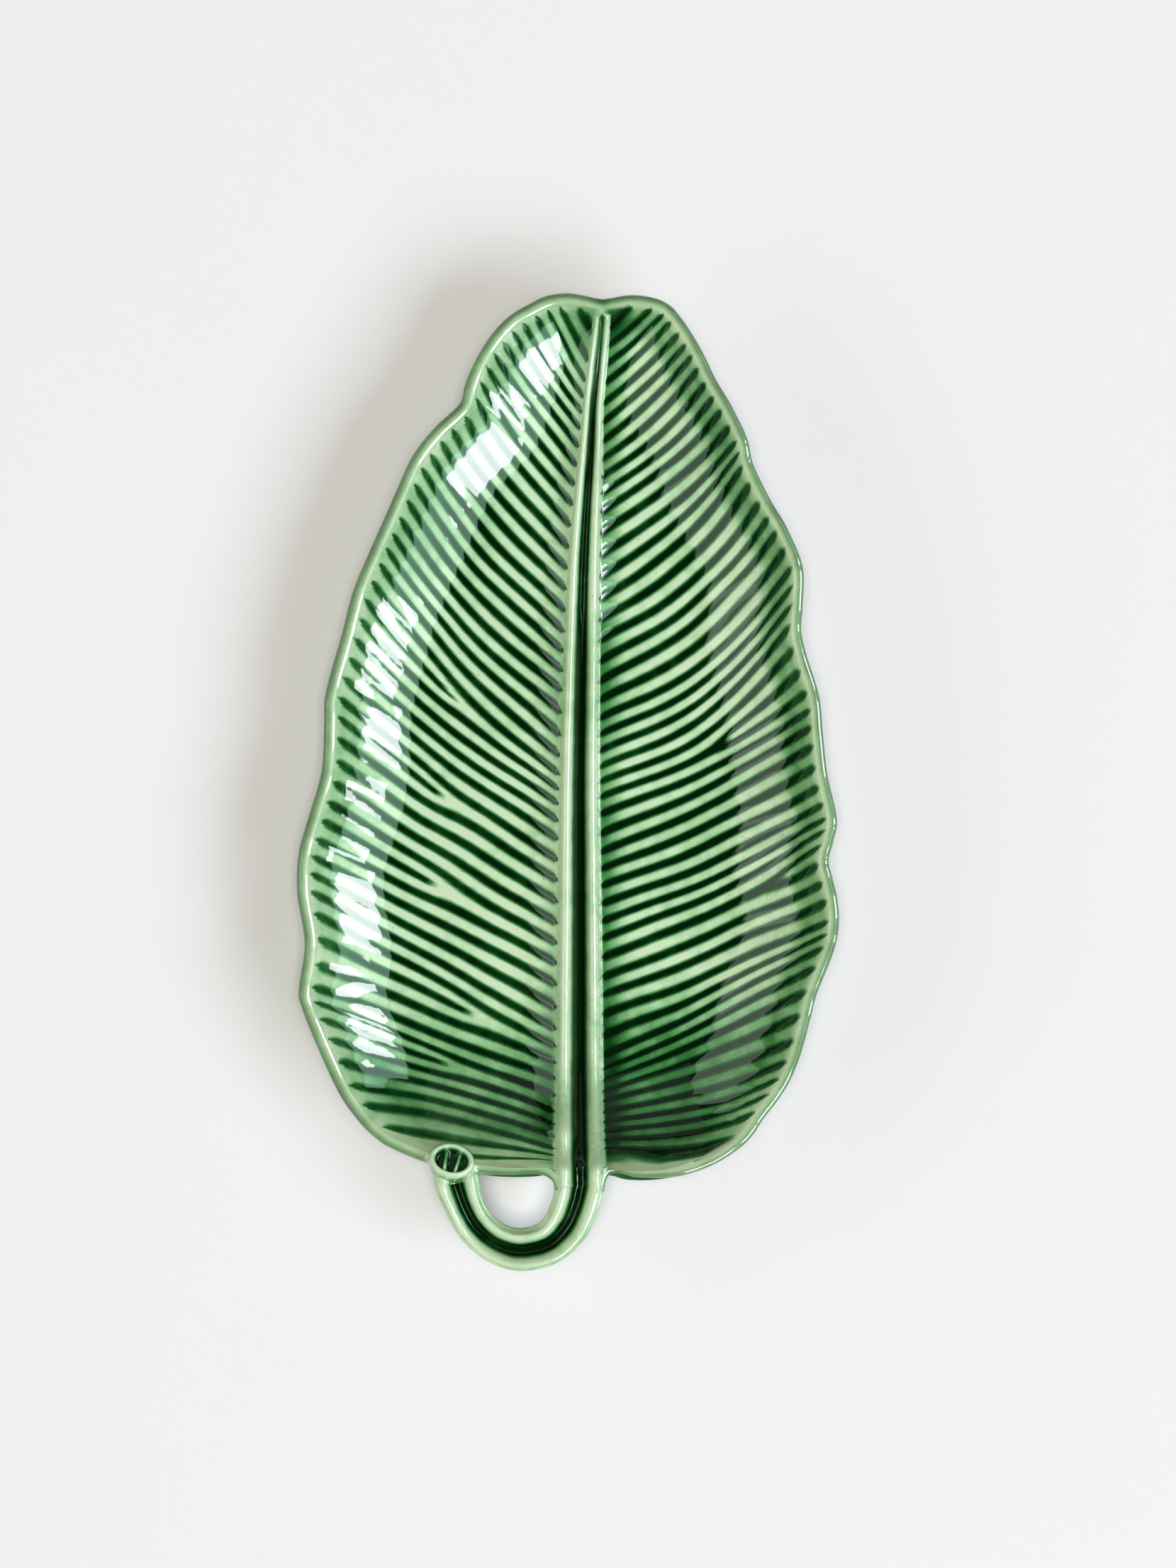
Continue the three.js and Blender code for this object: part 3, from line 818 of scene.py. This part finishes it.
def add_node(tree, kind, inputs=None, **settings):
    """Adds a node with its settings, and gives each named input a value or another node's output."""
    node = tree.nodes.new(kind)
    for name, value in settings.items():
        setattr(node, name, value)
    for socket, value in (inputs or {}).items():
        if isinstance(value, bpy.types.NodeSocket):
            tree.links.new(value, node.inputs[socket])
        else:
            node.inputs[socket].default_value = value
    return node


def new_material(name, ior, roughness):
    material = bpy.data.materials.new(name)
    material.use_nodes = True
    tree = material.node_tree
    shader = tree.nodes["Principled BSDF"]
    shader.inputs["IOR"].default_value = ior
    shader.inputs["Roughness"].default_value = roughness
    return material, tree, shader


def rgba(rgb):
    return (*rgb, 1)


def leaf_green_glaze(colours):
    """Majolica glaze: a transparent lead-type green poured over a pale moulded body and fired glossy. It runs
    off the crests, where the clay shows pale through it, and pools dark in the grooves."""
    material, tree, shader = new_material("leaf_green_majolica_glaze", ior=1.62, roughness=0.05)
    place = add_node(tree, "ShaderNodeTexCoord").outputs["Object"]
    # The colour is read from this value: the glaze's depth with painted shade and, on the left wall, painted
    # light added in
    pool = add_node(tree, "ShaderNodeAttribute", attribute_name="pool").outputs["Fac"]
    lip = add_node(tree, "ShaderNodeAttribute", attribute_name="lip").outputs["Fac"]
    clouds = add_node(tree, "ShaderNodeTexNoise", {
        "Vector": place, "Scale": 1 / (GLAZE_CLOUDS * MM), "Detail": 3})
    runs = add_node(tree, "ShaderNodeTexNoise", {
        "Vector": place, "Scale": 1 / (GLAZE_RUNS * MM), "Detail": 4})
    wide = add_node(tree, "ShaderNodeMapRange", {
        "Value": clouds.outputs["Fac"], **NOISE_SPAN, "To Min": -0.1, "To Max": 0.12})
    fine = add_node(tree, "ShaderNodeMapRange", {
        "Value": runs.outputs["Fac"], **NOISE_SPAN, "To Min": -0.07, "To Max": 0.07})
    uneven = add_node(tree, "ShaderNodeMath", {0: wide.outputs[0], 1: fine.outputs[0]}, operation="ADD")
    # Glaze depth with the painted shade and light in it, made patchy
    depth = add_node(tree, "ShaderNodeMath", {0: pool, 1: uneven.outputs[0]}, operation="ADD")
    ramp = add_node(tree, "ShaderNodeValToRGB", {"Fac": depth.outputs[0]})
    stops = ramp.color_ramp.elements
    for at, shade in ((0, colours.thin), (1, colours.pooled)):
        stops[at].color = rgba(shade)
    for at, shade in GLAZE_STOPS:
        stops.new(at).color = rgba(getattr(colours, shade))
    warm = mixed(tree, lip, ramp.outputs["Color"], rgba(colours.lip))
    specks = add_node(tree, "ShaderNodeTexNoise", {
        "Vector": place, "Scale": 1 / (GLAZE_SPECKS * MM), "Detail": 1})
    speck = add_node(tree, "ShaderNodeMapRange", {
        "Value": specks.outputs["Fac"], "From Min": 0.74, "From Max": 0.8, "To Max": 0.5})
    flecked = mixed(tree, speck.outputs[0], warm, rgba(colours.deep))
    tree.links.new(flecked, shader.inputs["Base Color"])
    ripple = add_node(tree, "ShaderNodeTexNoise", {
        "Vector": place, "Scale": 1 / (GLAZE_RIPPLE * MM), "Detail": 2})
    bump = add_node(tree, "ShaderNodeBump", {
        "Height": ripple.outputs["Fac"], "Strength": 1, "Distance": GLAZE_RIPPLE_DEPTH * MM})
    tree.links.new(bump.outputs["Normal"], shader.inputs["Normal"])
    return material


def mixed(tree, factor, a, b):
    """The output of a colour mix of two colours by a factor."""
    mix_node = add_node(tree, "ShaderNodeMix", data_type="RGBA")
    for socket, value in ((0, factor), (6, a), (7, b)):
        if isinstance(value, bpy.types.NodeSocket):
            tree.links.new(value, mix_node.inputs[socket])
        else:
            mix_node.inputs[socket].default_value = value
    return mix_node.outputs[2]


def bare_earthenware(colours):
    """Fired earthenware left dry where the foot stood in the kiln: matt, buff and finely gritty."""
    material, tree, shader = new_material("bare_buff_earthenware", ior=1.5, roughness=0.8)
    place = add_node(tree, "ShaderNodeTexCoord").outputs["Object"]
    grit = add_node(tree, "ShaderNodeTexNoise", {"Vector": place, "Scale": 1 / (CLAY_GRIT * MM), "Detail": 5})
    clay = colours.clay
    ramp = add_node(tree, "ShaderNodeValToRGB", {"Fac": grit.outputs["Fac"]})
    ramp.color_ramp.elements[0].color = rgba([c * 0.7 for c in clay])
    ramp.color_ramp.elements[1].color = rgba(clay)
    tree.links.new(ramp.outputs["Color"], shader.inputs["Base Color"])
    bump = add_node(tree, "ShaderNodeBump", {
        "Height": grit.outputs["Fac"], "Strength": 0.6, "Distance": CLAY_GRIT_DEPTH * MM})
    tree.links.new(bump.outputs["Normal"], shader.inputs["Normal"])
    return material


def matt_white_board(colour_value):
    """A painted board under the dish: matt, pale and even, with the faintest mottling."""
    material, tree, shader = new_material("matt_white_paint", ior=1.45, roughness=0.9)
    shader.inputs["Specular IOR Level"].default_value = 0
    place = add_node(tree, "ShaderNodeTexCoord").outputs["Object"]
    mottle = add_node(tree, "ShaderNodeTexNoise", {
        "Vector": place, "Scale": 1 / (BOARD_MOTTLE * MM), "Detail": 3})
    ramp = add_node(tree, "ShaderNodeValToRGB", {"Fac": mottle.outputs["Fac"]})
    ramp.color_ramp.elements[0].color = rgba([c * 0.985 for c in colour_value])
    ramp.color_ramp.elements[1].color = rgba(colour_value)
    tree.links.new(ramp.outputs["Color"], shader.inputs["Base Color"])
    return material


# --- Stage ----------------------------------------------------------------------------------------

LIGHT_DISTANCE = 6  # metres
OVERHEAD = 18  # degrees across the broad light straight above
# Each light's name, the angles that it covers in degrees, round from +X and down from straight overhead, the
# setting of how bright it is, its tint, and whether the glaze mirrors it or it falls on the scene.
LIGHTS = [
    ("key", (-60, -6), (38, 62), "key", "e8efff", False),
    ("fill", (0, OVERHEAD), (-OVERHEAD / 2, OVERHEAD / 2), "fill", "fffbf2", False),
    ("bounce", (150, 215), (52, 76), "bounce", "fffbf2", False),
    ("window", (-76, 36), (39, 82), "sky", "ceffe6", True),
    ("window_pane_1", (-74, -54), (56, 77), "window", "f6fbff", True),
    ("window_pane_2", (-47, -26.5), (51, 79), "window", "f6fbff", True),
    ("window_pane_3", (-16.6, -11.6), (59, 86), "window", "f6fbff", True),
    ("window_pane_4", (-3.6, 9.6), (51, 80), "window", "f6fbff", True),
    ("window_pane_5", (18, 23.5), (54, 80), "window", "f6fbff", True),
    ("left_wall", (134, 246), (33, 79), "wall", "e4ffe6", True),
    ("left_patch", (173, 186), (30, 76), "patch", "f4fff4", True),
    ("tip_wall", (62, 128), (24, 84), "tip_wall", "f4fbff", True),
]
BACKDROP_LIGHT = 0.9  # how bright the room looks past the table top's edge
CAMERA_PLACE = (5.8, -0.3, 1085)  # millimetres, straight above the middle of the dish
LENS = 85
SENSOR = 36
CLIP_END = 100  # metres


def panel(name, around, down, radiance, tint, mirrored):
    """A flat soft light that covers those angles as seen from the dish. Its light is either mirrored by the
    glaze or falls on the scene: the brightness of the two is set apart, as with gloss flags in a studio."""
    (start, end), (high, low) = around, down
    middle, down = math.radians((start + end) / 2), math.radians((high + low) / 2)
    light = bpy.data.lights.new(name, "AREA")
    light.shape = "RECTANGLE"
    light.size = 2 * LIGHT_DISTANCE * math.tan(math.radians(end - start) / 2) * (math.sin(down) or 1)
    light.size_y = 2 * LIGHT_DISTANCE * math.tan(math.radians(low - high) / 2)
    light.color = tint
    light.energy = radiance * math.pi * light.size * light.size_y
    lamp = bpy.data.objects.new(name, light)
    way = Vector((math.sin(down) * math.cos(middle), math.sin(down) * math.sin(middle), math.cos(down)))
    turned = way.to_track_quat("Z", "Y").to_matrix().to_4x4()
    lamp.matrix_world = Matrix.Translation(way * LIGHT_DISTANCE) @ turned
    lamp.visible_camera = False
    lamp.visible_diffuse = not mirrored
    lamp.visible_glossy = mirrored
    bpy.context.scene.collection.objects.link(lamp)
    return lamp


# --- Operators ------------------------------------------------------------------------------------


class LEAFDISH_OT_dish(bpy.types.Operator):
    """Make the dish: the ribbed blades, the midrib, the looped stalk with its cut end, and the foot"""

    bl_idname = "leafdish.dish"
    bl_label = "Leaf Dish"
    bl_options = {"REGISTER", "UNDO"}

    def execute(self, context):
        sizes, colours = context.scene.dish_sizes, context.scene.glaze_colours
        materials = [leaf_green_glaze(colours), bare_earthenware(colours)]
        dish = new_piece("glazed_leaf_dish", clay_body(sizes), materials)
        fused(dish, [new_piece("cut_end", cut_end(), materials),
                     new_piece("foot_ring", foot_ring(sizes), materials)])
        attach(dish, "root")
        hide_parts("leaf_dish")
        return {"FINISHED"}


class LEAFDISH_OT_stage(bpy.types.Operator):
    """Set the pale table, the soft studio light and the camera straight above the dish"""

    bl_idname = "leafdish.stage"
    bl_label = "Stage"
    bl_options = {"REGISTER", "UNDO"}

    def execute(self, context):
        look, scene = context.scene.stage_look, context.scene
        bm = bmesh.new()
        bmesh.ops.create_grid(bm, x_segments=1, y_segments=1, size=FLOOR_REACH)
        floor = new_piece("table_top", bm, [matt_white_board(look.floor)])
        for name, around, down, setting, tint, mirrored in LIGHTS:
            panel(name, around, down, getattr(look, setting), linear(tint), mirrored)

        world = bpy.data.worlds.new("room")
        world.use_nodes = True
        tree = world.node_tree
        backdrop = tree.nodes["Background"]
        backdrop.inputs["Color"].default_value = rgba(linear("e4e7e6"))
        rays = add_node(tree, "ShaderNodeLightPath")
        strength = add_node(tree, "ShaderNodeMapRange", {
            "Value": rays.outputs["Is Camera Ray"], "To Min": ROOM_LIGHT, "To Max": BACKDROP_LIGHT})
        tree.links.new(strength.outputs[0], backdrop.inputs["Strength"])
        scene.world = world

        camera_data = bpy.data.cameras.new("camera")
        camera_data.lens = LENS
        camera_data.sensor_fit = "VERTICAL"
        camera_data.sensor_height = SENSOR
        camera_data.clip_end = CLIP_END
        camera = bpy.data.objects.new("camera", camera_data)
        camera.location = Vector(CAMERA_PLACE) * MM
        scene.collection.objects.link(camera)
        scene.camera = camera
        scene.view_settings.view_transform = "Standard"
        return {"FINISHED"}


class LEAFDISH_PT_panel(bpy.types.Panel):
    bl_idname = "LEAFDISH_PT_panel"
    bl_label = "Leaf Dish"
    bl_space_type = "VIEW_3D"
    bl_region_type = "UI"
    bl_category = "Leaf Dish"

    def draw(self, context):
        layout = self.layout
        for group in GROUPS:
            box = layout.box()
            settings = getattr(context.scene, group)
            for name in settings.__annotations__:
                box.prop(settings, name)
        for operator in OPERATORS:
            layout.operator(operator.bl_idname)


GROUPS = {"dish_sizes": DishSizes, "glaze_colours": GlazeColours, "stage_look": StageLook}
OPERATORS = (LEAFDISH_OT_dish, LEAFDISH_OT_stage)


def register():
    for cls in (*GROUPS.values(), *OPERATORS, LEAFDISH_PT_panel):
        bpy.utils.register_class(cls)
    for name, group in GROUPS.items():
        setattr(bpy.types.Scene, name, PointerProperty(type=group))


def unregister():
    for name in GROUPS:
        delattr(bpy.types.Scene, name)
    for cls in (LEAFDISH_PT_panel, *OPERATORS, *GROUPS.values()):
        bpy.utils.unregister_class(cls)


def main():
    register()
    bpy.ops.leafdish.dish()
    bpy.ops.leafdish.stage()


if __name__ == "__main__":
    main()
